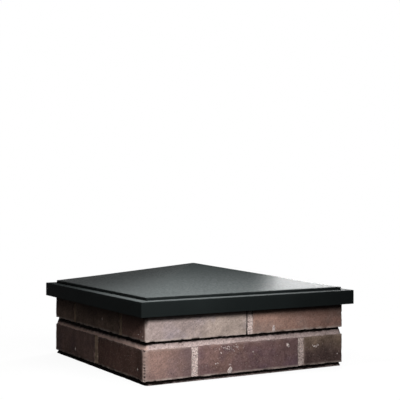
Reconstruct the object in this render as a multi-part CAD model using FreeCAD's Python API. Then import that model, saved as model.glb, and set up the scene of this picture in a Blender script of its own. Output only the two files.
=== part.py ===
# Pier cap: a low hipped sheet-metal cap, bedded on the top two brick courses of a square pier.
#
# The courses are laid in English bond. Each one has two outer rows of bricks along the pier's sides
# and a row of cross bricks between them, and the upper course is the lower one turned a quarter.
# Origin: centre of the underside. +Z is up, and -Y is the front of the pier.

import FreeCAD
import Part

import math
import os

# Brickwork
BRICK_LENGTH = 190.0  # bricks of the outer rows
BRICK_HEIGHT = 50.0
UPPER_HEADER = 90.0  # width of the outer rows' bricks, seen as header faces on the sides
LOWER_HEADER = 84.0
ARRIS_BEVEL = 2.0  # worn edges of a moulded brick
CROSS_BRICKS = 4  # bricks side by side in the row between the outer rows

# Mortar
PERPEND = 12.0  # upright joints
BED = 12.0  # bed joint between the courses
BASE_BED = 7.0  # what is left of the bed joint under the lower course
CAP_BED = 14.0  # bedding between the upper course and the cap
STRUCK_FOOT = 1.5  # bed joints are struck: this far behind the brick faces at their foot
STRUCK_TOP = 4.0  # and this far behind them under the bricks above
PERPEND_RECESS = 1.5

# Cap
SHEET = 2.5
OVERHANG = 15.0  # cap beyond the brick faces
FASCIA_HEIGHT = 24.5
LEDGE = 16.0  # flat rim around the raised panel
STEP = 5.0  # riser of the raised panel
RISE = 38.3  # eave of the raised panel to its tip
TIP_FLAT = 2.0  # straight part of each side of the hip's blunted point
INSIDE_RADIUS = 0.5  # inside of the upright corners
CORNER_RADIUS = 1.6  # outside of the upright corners, welded and dressed, carried up the hips
BEND_RADIUS = 1.2  # horizontal folds, outside
SEAT_LAP = 3.5  # bedding under the ledge, beyond the hollow of the raised panel

# Derived sizes
PIER_SIDE = 2 * BRICK_LENGTH + PERPEND
CROSS_WIDTH = (PIER_SIDE - (CROSS_BRICKS - 1) * PERPEND) / CROSS_BRICKS
CAP_SIDE = PIER_SIDE + 2 * OVERHANG
PANEL_SIDE = CAP_SIDE - 2 * LEDGE
HOLLOW_SIDE = PANEL_SIDE - 2 * SHEET
TIP_SIDE = TIP_FLAT + 2 * CORNER_RADIUS
PITCH = math.atan2(RISE, (PANEL_SIDE - TIP_SIDE) / 2)

# Derived levels
LOWER_COURSE = BASE_BED
MIDDLE_BED = LOWER_COURSE + BRICK_HEIGHT
UPPER_COURSE = MIDDLE_BED + BED
BEDDING = UPPER_COURSE + BRICK_HEIGHT
LEDGE_UNDERSIDE = BEDDING + CAP_BED
LEDGE_TOP = LEDGE_UNDERSIDE + SHEET
FASCIA_FOOT = LEDGE_TOP - FASCIA_HEIGHT
EAVE = LEDGE_TOP + STEP

LEVEL_TOLERANCE = 1e-4


def rounded_square(side, radius, level):
    """Edges of a square about the Z axis with rounded corners: four pairs of a straight and an arc."""
    half = side / 2
    flat = half - radius
    mid = flat + radius * math.sqrt(0.5)
    edges = []
    for turn in range(4):
        start = FreeCAD.Vector(half, -flat, level)
        end = FreeCAD.Vector(half, flat, level)
        on_arc = FreeCAD.Vector(mid, mid, level)
        arc_end = FreeCAD.Vector(flat, half, level)
        quarter = FreeCAD.Rotation(FreeCAD.Vector(0, 0, 1), 90 * turn)
        start, end, on_arc, arc_end = (quarter.multVec(p) for p in (start, end, on_arc, arc_end))
        edges.append(Part.LineSegment(start, end).toShape())
        edges.append(Part.Arc(end, on_arc, arc_end).toShape())
    return edges


def prism(side, radius, foot, top):
    """Square block about the Z axis, with rounded upright corners."""
    face = Part.Face(Part.Wire(rounded_square(side, radius, foot)))
    return face.extrude(FreeCAD.Vector(0, 0, top - foot))


def hip(eave):
    """Solid hip: flat slopes from the raised panel to the tip, with the corner arcs carried up."""
    base = rounded_square(PANEL_SIDE, CORNER_RADIUS, eave)
    tip = rounded_square(TIP_SIDE, CORNER_RADIUS, eave + RISE)
    faces = [Part.Face(Part.Wire(base)), Part.Face(Part.Wire(tip))]
    for straight, tip_straight in zip(base[0::2], tip[0::2]):
        below = [vertex.Point for vertex in straight.Vertexes]
        above = [vertex.Point for vertex in tip_straight.Vertexes]
        outline = Part.makePolygon([*below, above[1], above[0], below[0]])
        faces.append(Part.Face(outline))
    for arc, tip_arc in zip(base[1::2], tip[1::2]):
        faces.append(arc.extrude(tip_arc.firstVertex().Point - arc.firstVertex().Point))
    shell = Part.makeShell(faces)
    shell.sewShape()
    return Part.makeSolid(shell)


def hipped_block(foot, eave):
    """The raised panel's outside as a block: upright sides from foot to eave, and a hip above."""
    return prism(PANEL_SIDE, CORNER_RADIUS, foot, eave).fuse(hip(eave)).removeSplitter()


def fold_edges(shape, side, level):
    """The edges of a horizontal fold: those at a level, on the outline of a square."""
    half = side / 2
    found = []
    for edge in shape.Edges:
        box = edge.BoundBox
        at_level = abs(box.ZMin - level) < LEVEL_TOLERANCE and abs(box.ZMax - level) < LEVEL_TOLERANCE
        reach = max(abs(box.XMin), abs(box.XMax), abs(box.YMin), abs(box.YMax))
        if at_level and abs(reach - half) < LEVEL_TOLERANCE:
            found.append(edge)
    return found


def pier_cap():
    """Sheet cap: an upright fascia, a flat ledge, and a raised panel with a low hip, hollow below."""
    fascia = prism(CAP_SIDE, CORNER_RADIUS, FASCIA_FOOT, LEDGE_TOP)
    outside = fascia.fuse(hipped_block(LEDGE_UNDERSIDE, EAVE)).removeSplitter()
    folds = fold_edges(outside, CAP_SIDE, LEDGE_TOP) + fold_edges(outside, PANEL_SIDE, EAVE)
    outside = outside.makeFillet(BEND_RADIUS, folds)
    tray = prism(CAP_SIDE - 2 * SHEET, INSIDE_RADIUS, FASCIA_FOOT - SHEET, LEDGE_UNDERSIDE)
    below_hip = hipped_block(FASCIA_FOOT, EAVE - SHEET / math.cos(PITCH))
    hollow = prism(HOLLOW_SIDE, INSIDE_RADIUS, FASCIA_FOOT, EAVE + RISE).common(below_hip)
    return outside.cut(tray.fuse(hollow))


def box_between(low, high):
    """Box from its lowest to its highest corner."""
    size = [b - a for a, b in zip(low, high)]
    return Part.makeBox(*size, FreeCAD.Vector(*low))


def brick(low, high):
    """One brick with bevelled arrises, from its lowest to its highest corner."""
    block = box_between(low, high)
    return block.makeChamfer(ARRIS_BEVEL, block.Edges)


def square(side, level):
    """Closed outline of a square about the Z axis."""
    half = side / 2
    corners = ((-half, -half), (half, -half), (half, half), (-half, half), (-half, -half))
    return Part.makePolygon([FreeCAD.Vector(x, y, level) for x, y in corners])


def bed(side, foot, thickness):
    """Bed of mortar across the pier, with upright edges."""
    return Part.Face(square(side, foot)).extrude(FreeCAD.Vector(0, 0, thickness))


def struck_bed(foot, thickness):
    """Bed of mortar whose edges slope back under the bricks above."""
    below = square(PIER_SIDE - 2 * STRUCK_FOOT, foot)
    above = square(PIER_SIDE - 2 * STRUCK_TOP, foot + thickness)
    return Part.makeLoft([below, above], True, True)


def course_bricks(foot, header, rows, hands):
    """Bricks of a course whose outer rows run along X, as pairs of place and solid.

    rows names the rows at -Y and +Y, and hands the bricks at -X and +X, as they lie once turned.
    """
    half = PIER_SIDE / 2
    top = foot + BRICK_HEIGHT
    bricks = []
    for row, near in zip(rows, (-half, half - header)):
        for hand, start in zip(hands, (-half, half - BRICK_LENGTH)):
            solid = brick((start, near, foot), (start + BRICK_LENGTH, near + header, top))
            bricks.append((f"{row}_{hand}", solid))
    reach = half - header - PERPEND
    for number in range(CROSS_BRICKS):
        start = -half + number * (CROSS_WIDTH + PERPEND)
        solid = brick((start, -reach, foot), (start + CROSS_WIDTH, reach, top))
        bricks.append((f"cross_{number + 1}", solid))
    return bricks


def course_perpends(foot, header):
    """Upright joints of that course: one along each outer row, and those between bricks."""
    half = PIER_SIDE / 2
    face = half - PERPEND_RECESS
    top = foot + BRICK_HEIGHT
    inner = half - header - PERPEND
    joints = []
    for low, high in ((-inner - PERPEND, -inner), (inner, inner + PERPEND)):
        joints.append(box_between((-face, low, foot), (face, high, top)))
    for low, high in ((-face, -inner - PERPEND), (inner + PERPEND, face)):
        joints.append(box_between((-PERPEND / 2, low, foot), (PERPEND / 2, high, top)))
    for number in range(1, CROSS_BRICKS):
        start = -half + number * (CROSS_WIDTH + PERPEND) - PERPEND
        joints.append(box_between((start, -inner, foot), (start + PERPEND, inner, top)))
    return joints[0].multiFuse(joints[1:]).removeSplitter()


def course(name, foot, header, rows, hands, quarter_turns):
    """Nodes of one course, turned about the pier's axis."""
    bricks = course_bricks(foot, header, rows, hands)
    nodes = {f"brick_{name}_{place}": solid for place, solid in bricks}
    nodes[f"mortar_perpends_{name}"] = course_perpends(foot, header)
    for solid in nodes.values():
        solid.rotate(FreeCAD.Vector(0, 0, 0), FreeCAD.Vector(0, 0, 1), 90 * quarter_turns)
    return nodes


def pier_head():
    """Every piece by its node name."""
    nodes = {"pier_cap": pier_cap()}
    nodes["mortar_bed_cap"] = bed(HOLLOW_SIDE + 2 * SEAT_LAP, BEDDING, CAP_BED)
    nodes.update(course("upper", UPPER_COURSE, UPPER_HEADER, ("front", "back"), ("left", "right"), 0))
    nodes["mortar_bed_middle"] = struck_bed(MIDDLE_BED, BED)
    nodes.update(course("lower", LOWER_COURSE, LOWER_HEADER, ("left", "right"), ("back", "front"), -1))
    nodes["mortar_bed_base"] = struck_bed(0.0, BASE_BED)
    return nodes


os.makedirs("parts", exist_ok=True)
for node, shape in pier_head().items():
    print(f"{node}: {len(shape.Solids)} solid, valid {shape.isValid()}, {shape.Volume:.0f} mm3")
    shape.exportStep(f"parts/{node}.step")
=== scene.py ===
"""Pier cap: the finished looks of a hipped sheet-metal cap, bedded on two brick courses of a square pier."""

from __future__ import annotations

import logging
import math
from abc import ABC, abstractmethod
from collections.abc import Iterator
from dataclasses import dataclass, field
from enum import Enum
from typing import NamedTuple

import bpy
import numpy as np
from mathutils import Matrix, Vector


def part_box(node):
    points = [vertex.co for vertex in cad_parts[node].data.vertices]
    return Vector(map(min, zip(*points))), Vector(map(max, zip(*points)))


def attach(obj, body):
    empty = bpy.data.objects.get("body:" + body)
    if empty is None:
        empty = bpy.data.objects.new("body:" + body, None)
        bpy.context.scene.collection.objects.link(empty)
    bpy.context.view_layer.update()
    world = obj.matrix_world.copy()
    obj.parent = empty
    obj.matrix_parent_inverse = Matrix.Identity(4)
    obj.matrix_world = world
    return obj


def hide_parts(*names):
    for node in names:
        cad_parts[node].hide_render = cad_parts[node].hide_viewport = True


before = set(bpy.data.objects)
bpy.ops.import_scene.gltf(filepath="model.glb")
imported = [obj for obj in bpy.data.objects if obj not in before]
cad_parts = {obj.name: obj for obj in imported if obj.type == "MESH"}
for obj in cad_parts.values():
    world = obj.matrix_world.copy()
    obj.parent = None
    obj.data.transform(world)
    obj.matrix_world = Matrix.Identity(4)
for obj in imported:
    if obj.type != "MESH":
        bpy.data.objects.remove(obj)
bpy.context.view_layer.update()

LOG = logging.getLogger("pier_cap")
BODY = "root"
MM = 0.001

Colour = tuple[float, float, float]
Point = tuple[float, float, float]
Pair = tuple[float, float]
Socket = bpy.types.NodeSocket

WHITE = (1.0, 1.0, 1.0)
UP = np.array([0.0, 0.0, 1.0])

# The values that most of a noise lies between, and wider ones
NOISE = (0.3, 0.7)
WIDE_NOISE = (0.25, 0.75)


class Side(Enum):
    """Outward direction of a side of the pier that splashes lie on."""

    FRONT = (0, -1)
    LEFT = (-1, 0)

    @property
    def outward(self) -> np.ndarray:
        """Unit vector out of this side."""
        return np.array([*self.value, 0.0])

    @property
    def along(self) -> np.ndarray:
        """Unit vector along this side, to the right of someone who faces it."""
        return np.array([-self.value[1], self.value[0], 0.0])


class Slot(Enum):
    """Material slots of the record."""

    COAT = "powder_coat"
    BUFF = "brick_buff"
    BROWN = "brick_brown"
    PLUM = "brick_plum"
    CHARCOAL = "brick_charcoal"
    MORTAR = "mortar"


class Pattern(NamedTuple):
    """A fractal noise: its features per metre, its octaves and the share that each finer octave keeps."""

    scale: float
    octaves: float = 3.0
    keep: float = 0.55


class Spots(NamedTuple):
    """Scattered round spots: places per metre, share of them left empty, radius in a place, and strength."""

    scale: float
    empty: float
    radius: float
    strength: float


class Bump(NamedTuple):
    """A bump in a finish: its depth in metres, and the share of it that counts."""

    depth: float
    strength: float = 1.0


class NodeSheet:
    """The node tree of a material or of the world, with short calls for the nodes that the finishes use."""

    # Sockets of a Mix node that mixes colours
    MIX_INPUTS = (0, 6, 7)
    MIX_RESULT = 2

    def __init__(self, owner: bpy.types.Material | bpy.types.World) -> None:
        """Start an empty tree.

        Args:
            owner: Material or world that gets the nodes.
        """
        owner.use_nodes = True
        self.owner = owner
        self.tree = owner.node_tree
        self.tree.nodes.clear()

    def add(self, kind: str, inputs: dict | None = None, **settings: object) -> bpy.types.Node:
        """Add a node, set it up and link or fill its inputs.

        Args:
            kind: Blender's node type.
            inputs: Input name or number to a socket, which is linked, or to a value.
            settings: Attributes of the node.

        Returns:
            The new node.
        """
        node = self.tree.nodes.new(kind)
        for key, value in settings.items():
            setattr(node, key, value)
        for key, value in (inputs or {}).items():
            self.feed(node.inputs[key], value)
        return node

    def feed(self, socket: Socket, value: object) -> None:
        """Link or fill one input.

        Args:
            socket: Input of a node.
            value: Socket to link, or a value. Three numbers for a colour are taken as opaque.
        """
        if isinstance(value, Socket):
            self.tree.links.new(value, socket)
        elif socket.type == "RGBA":
            socket.default_value = (*value, 1.0)
        else:
            socket.default_value = value

    def math(self, operation: str, *values: object) -> Socket:
        """One Math node.

        Args:
            operation: Blender's name of the operation.
            values: Sockets or numbers, in order.

        Returns:
            The result's socket.
        """
        return self.add("ShaderNodeMath", dict(enumerate(values)), operation=operation).outputs[0]

    def span(self, value: Socket, low: float, high: float,
             to_low: float = 0.0, to_high: float = 1.0) -> Socket:
        """Smooth step of a value from one range to another.

        Args:
            value: Socket to read.
            low: Value that gives to_low.
            high: Value that gives to_high.
            to_low: Result at the low end.
            to_high: Result at the high end.

        Returns:
            The result's socket.
        """
        inputs = {"Value": value, "From Min": low, "From Max": high, "To Min": to_low, "To Max": to_high}
        return self.add("ShaderNodeMapRange", inputs, interpolation_type="SMOOTHSTEP").outputs[0]

    def swing(self, noise: Socket, depth: float, about: float = 0.0, middle: Pair = NOISE) -> Socket:
        """Noise that swings evenly about a value.

        Args:
            noise: Noise between 0 and 1.
            depth: How far it swings to either side.
            about: Value that it swings about.
            middle: Values of the noise that give the two ends.

        Returns:
            The result's socket.
        """
        return self.span(noise, *middle, about - depth, about + depth)

    def noise(self, where: Socket, pattern: Pattern) -> Socket:
        """Fractal noise between 0 and 1.

        Args:
            where: Coordinate socket.
            pattern: Scale and octaves.

        Returns:
            The noise's socket.
        """
        inputs = {"Vector": where, "Scale": pattern.scale,
                  "Detail": pattern.octaves, "Roughness": pattern.keep}
        return self.add("ShaderNodeTexNoise", inputs).outputs["Fac"]

    def spots(self, where: Socket, spots: Spots, share: float = 1.0) -> Socket:
        """Mask of scattered round spots.

        Args:
            where: Coordinate socket.
            spots: Number, size and strength of the spots.
            share: Share of their strength.

        Returns:
            The mask's socket.
        """
        cell = self.add("ShaderNodeTexVoronoi", {"Vector": where, "Scale": spots.scale}).outputs
        pick = self.add("ShaderNodeSeparateColor", {0: cell["Color"]}).outputs[0]
        inside = self.span(cell["Distance"], 0.5 * spots.radius, spots.radius, spots.strength * share, 0.0)
        return self.math("MULTIPLY", inside, self.math("GREATER_THAN", pick, spots.empty))

    def mix(self, share: object, below: object, above: object, blend: str = "MIX") -> Socket:
        """Mix of two colours.

        Args:
            share: Socket or number, 0 for below and 1 for above.
            below: Colour or socket.
            above: Colour or socket.
            blend: Blender's blend type.

        Returns:
            The mixed colour's socket.
        """
        node = self.add("ShaderNodeMix", data_type="RGBA", blend_type=blend)
        for number, value in zip(self.MIX_INPUTS, (share, below, above)):
            self.feed(node.inputs[number], value)
        return node.outputs[self.MIX_RESULT]

    def place(self, kind: str = "Object") -> Socket:
        """Texture coordinates of a kind, by default in metres from the object's origin."""
        return self.add("ShaderNodeTexCoord").outputs[kind]

    def axes(self, vector: Socket) -> bpy.types.NodeOutputs:
        """The X, Y and Z of a vector."""
        return self.add("ShaderNodeSeparateXYZ", {0: vector}).outputs

    def marked(self, name: str) -> Socket:
        """A value that the piece keeps at each vertex."""
        return self.add("ShaderNodeAttribute", attribute_name=name).outputs["Fac"]

    def shifted(self, offset: Point) -> Socket:
        """Object coordinates in metres, moved so that one piece's pattern differs from the next."""
        return self.add("ShaderNodeMapping", {"Vector": self.place(), "Location": offset}).outputs[0]

    def streaked(self, offset: Point, lean: float, stretch: float) -> Socket:
        """Object coordinates drawn out along a leaning line of the front.

        Args:
            offset: Shift, which makes one piece's pattern differ from the next.
            lean: Rise of the line to the right, in degrees.
            stretch: How many times longer the pattern becomes along the line.

        Returns:
            The coordinate's socket.
        """
        turn = (0.0, -math.radians(lean), 0.0)
        inputs = {"Vector": self.place(), "Location": offset, "Rotation": turn, "Scale": (stretch, 1.0, 1.0)}
        return self.add("ShaderNodeMapping", inputs, vector_type="TEXTURE").outputs[0]

    def grey(self, value: Socket) -> Socket:
        """Grey colour of a value."""
        return self.add("ShaderNodeCombineColor", {0: value, 1: value, 2: value}).outputs[0]

    def bump(self, height: Socket, bump: Bump, under: Socket | None = None) -> Socket:
        """Bumped normal.

        Args:
            height: Height socket, 0 to 1.
            bump: Depth and strength.
            under: Normal to start from.

        Returns:
            The normal's socket.
        """
        inputs = {"Height": height, "Distance": bump.depth, "Strength": bump.strength}
        if under is not None:
            inputs["Normal"] = under
        return self.add("ShaderNodeBump", inputs).outputs[0]

    def seen_directly(self) -> Socket:
        """Mask of the rays that look at a thing.

        Returns:
            A socket that is 1 for rays from the camera, off gloss or through glass, and 0 for others.
        """
        ray = self.add("ShaderNodeLightPath").outputs
        direct = self.math("MAXIMUM", ray["Is Camera Ray"], ray["Is Glossy Ray"])
        return self.math("MAXIMUM", direct, ray["Is Transmission Ray"])

    def blend(self, share: Socket, below: Socket, above: Socket) -> Socket:
        """Blend of two shaders, with the share of the second."""
        return self.add("ShaderNodeMixShader", {0: share, 1: below, 2: above}).outputs[0]

    def principled(self, inputs: dict) -> bpy.types.Material:
        """Finish a material with one main shader.

        Args:
            inputs: Input name of the shader to a socket or a value.

        Returns:
            The material.
        """
        return self.surface(self.add("ShaderNodeBsdfPrincipled", inputs).outputs[0])

    def surface(self, shader: Socket) -> bpy.types.Material | bpy.types.World:
        """Join a shader to the output.

        Args:
            shader: Shader of the surface, or of the world's background.

        Returns:
            The material or world.
        """
        kind = "World" if isinstance(self.owner, bpy.types.World) else "Material"
        self.add(f"ShaderNodeOutput{kind}", {"Surface": shader})
        return self.owner


class Finish(ABC):
    """A surface finish that makes its own material for a slot of the record."""

    slot: Slot

    @abstractmethod
    def material(self, name: str) -> bpy.types.Material:
        """Make the material under a name."""

    def dress(self, piece: bpy.types.Object) -> None:
        """Put this finish on a piece."""
        piece.data.materials.clear()
        piece.data.materials.append(self.material(f"{piece.name}_{self.slot.value}"))


@dataclass(frozen=True)
class PowderCoat(Finish):
    """Satin black powder coat: a fine orange peel, a soft sag of the sheet, rubbed folds with a painted
    highlight, pale weathered tops with painted light and shade.
    """

    reach: float  # half of the cap's side
    eave: float  # level of the raised panel's edge
    tip: float  # level of the tip
    folds: tuple[Pair, ...]  # half a side and level of each horizontal fold
    slot: Slot = Slot.COAT
    colour: Colour = (0.0094, 0.0116, 0.0116)
    paler: float = 1.25  # colour of the paler blotches over that of the rest
    # lighter folds: rubbed coat, and a painted highlight along the bends
    fold_wear_and_highlight: Colour = (0.050, 0.055, 0.055)
    fold_highlight_share: float = 0.8
    # chalk on level sheet, which with its share also paints the top's light and shade
    chalk_and_painted_light: Colour = (0.047, 0.052, 0.052)
    roughness: float = 0.20
    blotch_shine: float = 0.02
    grain_shine: float = 0.03
    ledge_roughness: float = 0.3
    ior: float = 1.022
    fold_width: float = 1.6 * MM
    level: Pair = (0.4, 0.95)  # upward part of the normal, from sloping to level sheet
    painted_height_light: Pair = (1.54, 0.46)  # painted light: more chalk low down, less at the tip
    shaded: Pair = (1.0, 0.18)  # painted shade: share of it at the front and at the back
    under_eave: Pair = (2 * MM, 1 * MM)  # depths below the eave, between which the ledge's dullness ends
    dusty: Pair = (0.72, 1.14)  # share of the chalk in weak and in strong speckle
    scuffed: Pair = (0.42, 0.68)  # noise from untouched folds to rubbed ones with the painted highlight
    offset: Point = (0.31, 0.17, 0.05)
    blotch: Pattern = Pattern(9.0, 4.0)
    scuff: Pattern = Pattern(70.0, 4.0)
    speckle: Pattern = Pattern(260.0, 2.0, 0.6)
    grain: Pattern = Pattern(1100.0, 2.0)
    peel: Pattern = Pattern(520.0, 2.0)
    peel_bump: Bump = Bump(0.12 * MM)
    sag: Pattern = Pattern(5.0, 1.0)
    sag_bump: Bump = Bump(0.8 * MM, 0.5)

    def material(self, name: str) -> bpy.types.Material:
        """Make the coat's material.

        Args:
            name: Name of the material.

        Returns:
            The material.
        """
        sheet = NodeSheet(bpy.data.materials.new(name))
        where = sheet.shifted(self.offset)
        blotch = sheet.noise(where, self.blotch)
        paler = tuple(self.paler * part for part in self.colour)
        colour = sheet.mix(sheet.span(blotch, *NOISE), self.colour, paler)
        # share of chalk, with painted light and shade over the top
        chalk_and_light, ledge = self.chalk_and_shade_masks(sheet)
        dust = sheet.span(sheet.noise(where, self.speckle), *NOISE, *self.dusty)
        colour = sheet.mix(sheet.math("MULTIPLY", chalk_and_light, dust), colour, self.chalk_and_painted_light)
        scuff = sheet.span(sheet.noise(where, self.scuff), *self.scuffed, 0.0, self.fold_highlight_share)
        # rubbed folds with a painted highlight
        colour = sheet.mix(sheet.math("MULTIPLY", self.fold_mask(sheet), scuff), colour, self.fold_wear_and_highlight)
        shine = sheet.swing(blotch, self.blotch_shine, self.roughness, WIDE_NOISE)
        shine = sheet.math("ADD", shine, sheet.swing(sheet.noise(where, self.grain), self.grain_shine))
        shine = sheet.math("ADD", shine, sheet.math("MULTIPLY", ledge, self.ledge_roughness))
        normal = sheet.bump(sheet.noise(where, self.sag), self.sag_bump)
        normal = sheet.bump(sheet.noise(where, self.peel), self.peel_bump, normal)
        return sheet.principled({"Base Color": colour, "Roughness": shine, "Normal": normal,
                                 "IOR": self.ior})

    def chalk_and_shade_masks(self, sheet: NodeSheet) -> tuple[Socket, Socket]:
        """Where the coat is paler, partly weathered and partly painted light and shade: on level sheet, most
        at the front eave, less up the hip and behind.

        Args:
            sheet: Node tree to add to.

        Returns:
            The share of the paler coat, and the mask of the ledge.
        """
        level_sheet = sheet.span(sheet.axes(sheet.place("Normal"))[2], *self.level)
        axes = sheet.axes(sheet.place())
        # painted light and shade: the chalk falls off up the hip and towards the back
        painted_height_light = sheet.span(axes[2], 2 * self.eave - self.tip, self.tip, *self.painted_height_light)
        shaded = sheet.span(axes[1], -self.reach, self.reach, *self.shaded)
        chalk_and_light = sheet.math("MULTIPLY", level_sheet, sheet.math("MULTIPLY", painted_height_light, shaded))
        far, close = (self.eave - drop for drop in self.under_eave)
        below_eave = sheet.span(axes[2], far, close, 1.0, 0.0)
        return chalk_and_light, sheet.math("MULTIPLY", level_sheet, below_eave)

    def fold_mask(self, sheet: NodeSheet) -> Socket:
        """Closeness to the horizontal folds, 1 on a fold.

        Args:
            sheet: Node tree to add to.

        Returns:
            The mask's socket.
        """
        axes = sheet.axes(sheet.place())
        reach = sheet.math("MAXIMUM", sheet.math("ABSOLUTE", axes[0]), sheet.math("ABSOLUTE", axes[1]))
        mask = 0.0
        for half, level in self.folds:
            across = sheet.math("POWER", sheet.math("SUBTRACT", reach, half), 2.0)
            up = sheet.math("POWER", sheet.math("SUBTRACT", axes[2], level), 2.0)
            away = sheet.math("SQRT", sheet.math("ADD", across, up))
            mask = sheet.math("MAXIMUM", mask, sheet.span(away, 0.0, self.fold_width, 1.0, 0.0))
        return mask


@dataclass(frozen=True)
class FiredClay(Finish):
    """Sanded face of a moulded brick: fired tones, a bloom, sand, drag marks, pale arrises with a painted
    highlight, and painted shade where marked.
    """

    slot: Slot
    body: Colour
    flash: Colour
    bloom: Colour
    seed: float
    seed_step: Point = (0.37, 0.71, 0.13)
    flash_from: float = 0.3  # run across the brick at which the flash starts
    flash_to: float = 0.8  # and at which it is full
    flash_along: Point = (1.0, 0.0, 0.0)  # direction of the run, in shares of the brick's sides
    patchiness: float = 0.18  # how far clouds shift the run
    bloom_share: float = 0.6
    bloomed: Pair = (0.46, 0.66)  # noise from no bloom to full bloom
    ends: Colour = (0.125, 0.077, 0.064)  # sides that face left and right: their own tone, partly painted shade
    end_share: float = 0.0
    end_facing: Pair = (0.75, 0.98)
    sand: Colour = (0.47, 0.39, 0.35)
    # burnt spots, and the colour of painted shade where marked
    burnt_and_shade: Colour = (0.012, 0.008, 0.007)
    sand_spots: Spots = Spots(420.0, 0.86, 0.36, 0.5)
    burnt_spots: Spots = Spots(330.0, 0.90, 0.36, 0.5)
    contrast: float = 1.0  # of cloud, mottle, sanding and grain
    cloud: Pattern = Pattern(20.0, 4.0)
    cloud_depth: float = 0.18
    mottle: Pattern = Pattern(75.0, 5.0, 0.62)
    mottle_depth: float = 0.15
    mottle_bump: Bump = Bump(0.6 * MM, 0.6)
    sanding: Pattern = Pattern(330.0, 2.0, 0.6)
    sanding_depth: float = 0.20
    grain: Pattern = Pattern(950.0, 3.0, 0.7)
    grain_depth: float = 0.28
    grain_bump: Bump = Bump(0.4 * MM, 0.7)
    drag: Pattern = Pattern(300.0)
    drag_depth: float = 0.05
    drag_lean: float = 32.0  # rise of the drag marks to the right, in degrees
    drag_stretch: float = 7.0  # their length over their width
    patch: Pattern = Pattern(17.0)
    patch_offset: Point = (0.9, 0.2, 0.5)
    worn_mottle: Pair = (0.35, 0.62)  # mottle from less to more worn arrises
    worn_share: Pair = (0.3, 0.85)  # share of sand on these
    roughness: Pair = (0.82, 0.97)
    specular: float = 0.02

    def material(self, name: str) -> bpy.types.Material:
        """Make the clay's material.

        Args:
            name: Name of the material.

        Returns:
            The material.
        """
        sheet = NodeSheet(bpy.data.materials.new(name))
        offset = tuple(step * self.seed for step in self.seed_step)
        where = sheet.shifted(offset)
        cloud, mottle, sanding, grain = (
            sheet.noise(where, pattern) for pattern in (self.cloud, self.mottle, self.sanding, self.grain))
        drag = sheet.noise(sheet.streaked(offset, self.drag_lean, self.drag_stretch), self.drag)
        light = sheet.swing(drag, self.drag_depth, 1.0)
        for noise, depth in ((mottle, self.mottle_depth), (cloud, self.cloud_depth),
                             (sanding, self.sanding_depth), (grain, self.grain_depth)):
            light = sheet.math("MULTIPLY", light, sheet.swing(noise, depth * self.contrast, 1.0))
        colour = sheet.mix(1.0, self.fired(sheet, cloud), sheet.grey(light), "MULTIPLY")
        colour = sheet.mix(sheet.spots(where, self.sand_spots), colour, self.sand)
        colour = sheet.mix(sheet.spots(where, self.burnt_spots), colour, self.burnt_and_shade)
        worn = sheet.span(mottle, *self.worn_mottle, *self.worn_share)
        # pale sand on worn arrises, with the painted highlight marked there
        colour = sheet.mix(sheet.math("MULTIPLY", sheet.marked("arris"), worn), colour, self.sand)
        # painted shade: in pits, in nicks along the lower arris, and the cap's shadow
        colour = sheet.mix(sheet.marked("painted_shade"), colour, self.burnt_and_shade)
        normal = sheet.bump(sheet.math("ADD", grain, drag), self.grain_bump)
        normal = sheet.bump(mottle, self.mottle_bump, normal)
        rough = sheet.span(grain, *NOISE, *self.roughness)
        return sheet.principled({"Base Color": colour, "Roughness": rough, "Normal": normal,
                                 "Specular IOR Level": self.specular})

    def fired(self, sheet: NodeSheet, cloud: Socket) -> Socket:
        """Colour of the fired face: the body's, a flash that runs across it, a patchy bloom, and the ends',
        which is partly painted shade.

        Args:
            sheet: Node tree to add to.
            cloud: Noise that makes the flash patchy.

        Returns:
            The colour's socket.
        """
        inputs = {0: sheet.place("Generated"), 1: self.flash_along}
        run = sheet.add("ShaderNodeVectorMath", inputs, operation="DOT_PRODUCT").outputs["Value"]
        run = sheet.math("ADD", run, sheet.swing(cloud, self.patchiness, 0.0, WIDE_NOISE))
        colour = sheet.mix(sheet.span(run, self.flash_from, self.flash_to), self.body, self.flash)
        x, y, z = self.patch_offset
        patch = sheet.noise(sheet.shifted((x, y + self.seed, z)), self.patch)
        colour = sheet.mix(sheet.span(patch, *self.bloomed, 0.0, self.bloom_share), colour, self.bloom)
        # the ends' colour, partly painted shade of the sides
        sideways = sheet.math("ABSOLUTE", sheet.axes(sheet.place("Normal"))[0])
        return sheet.mix(sheet.span(sideways, *self.end_facing, 0.0, self.end_share), colour, self.ends)


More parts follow.
